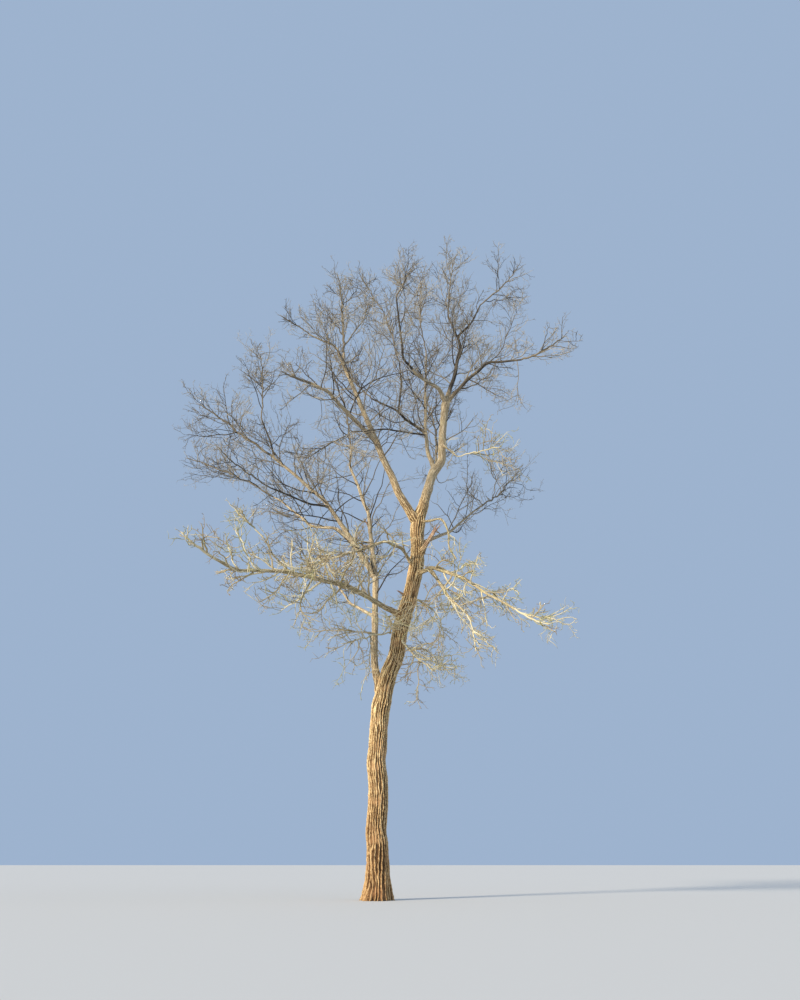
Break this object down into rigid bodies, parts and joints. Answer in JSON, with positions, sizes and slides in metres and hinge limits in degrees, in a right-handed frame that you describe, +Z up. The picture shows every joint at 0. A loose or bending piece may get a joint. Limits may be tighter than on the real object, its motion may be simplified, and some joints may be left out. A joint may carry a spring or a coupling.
{
  "type": "black locust tree",
  "caption": "Bare winter black locust: leaning furrowed trunk flat-cut at ground level, forked boughs, drooping pale low branches and open masses of fine twigs.",
  "frame": {"origin": "middle of the trunk's flat cut at ground level", "axes": "+Z up along the tree's height, +X to the right and +Y away from the viewer as the tree is first seen"},
  "size_m": [15.0729, 11.7326, 25.3154],
  "materials": {
    "bark_furrowed": "deeply furrowed bark",
    "bark_smooth": "shallowly ridged bark",
    "bark_dark": "dark bark of the upper limbs",
    "bark_pale": "bark with a thin coat of lichen",
    "split_wood": "bare split wood",
    "twigs": "matt twigs"
  },
  "bodies": {
    "root": {"trunk": "bark_furrowed", "leader": "bark_smooth", "left_bough": "bark_smooth", "left_side_branch": "bark_smooth", "left_outer_bough": "bark_smooth", "right_stem": "bark_dark", "crown_top_branch": "bark_dark", "right_high_branch": "bark_dark", "middle_stem": "bark_smooth", "arching_bough": "bark_smooth", "arching_riser": "bark_dark", "right_bough": "bark_dark", "inner_bough": "bark_dark", "inner_riser": "bark_dark", "hanging_branch": "bark_dark", "dead_branch": "bark_pale", "west_stem": "bark_smooth", "west_bough": "bark_smooth", "west_riser": "bark_dark", "west_back_bough": "bark_smooth", "west_front_branch": "bark_dark", "low_left_bough": "bark_pale", "low_left_riser": "bark_pale", "pale_left_branch": "bark_pale", "pale_right_branch": "bark_pale", "pale_hanging_branch": "bark_pale", "bent_branch": "bark_pale", "broken_stub": "split_wood", "back_bough": "bark_smooth", "back_right_bough": "bark_smooth", "back_left_bough": "bark_smooth", "back_low_branch": "bark_pale", "left_top_twigs": "twigs", "left_side_twigs": "twigs", "left_outer_twigs": "twigs", "crown_top_twigs": "twigs", "right_high_twigs": "twigs", "middle_twigs": "twigs", "arching_twigs": "twigs", "right_twigs": "twigs", "inner_left_twigs": "twigs", "inner_top_twigs": "twigs", "hanging_twigs": "twigs", "dead_twigs": "twigs", "west_stem_twigs": "twigs", "west_twigs": "twigs", "west_riser_twigs": "twigs", "west_back_twigs": "twigs", "west_front_twigs": "twigs", "low_left_twigs": "twigs", "low_riser_twigs": "twigs", "pale_left_twigs": "twigs", "pale_right_twigs": "twigs", "pale_hanging_twigs": "twigs", "back_twigs": "twigs", "back_right_twigs": "twigs", "back_left_twigs": "twigs", "back_low_twigs": "twigs", "trunk_left_twigs": "twigs", "trunk_right_twigs": "twigs"}
  },
  "joints": []
}
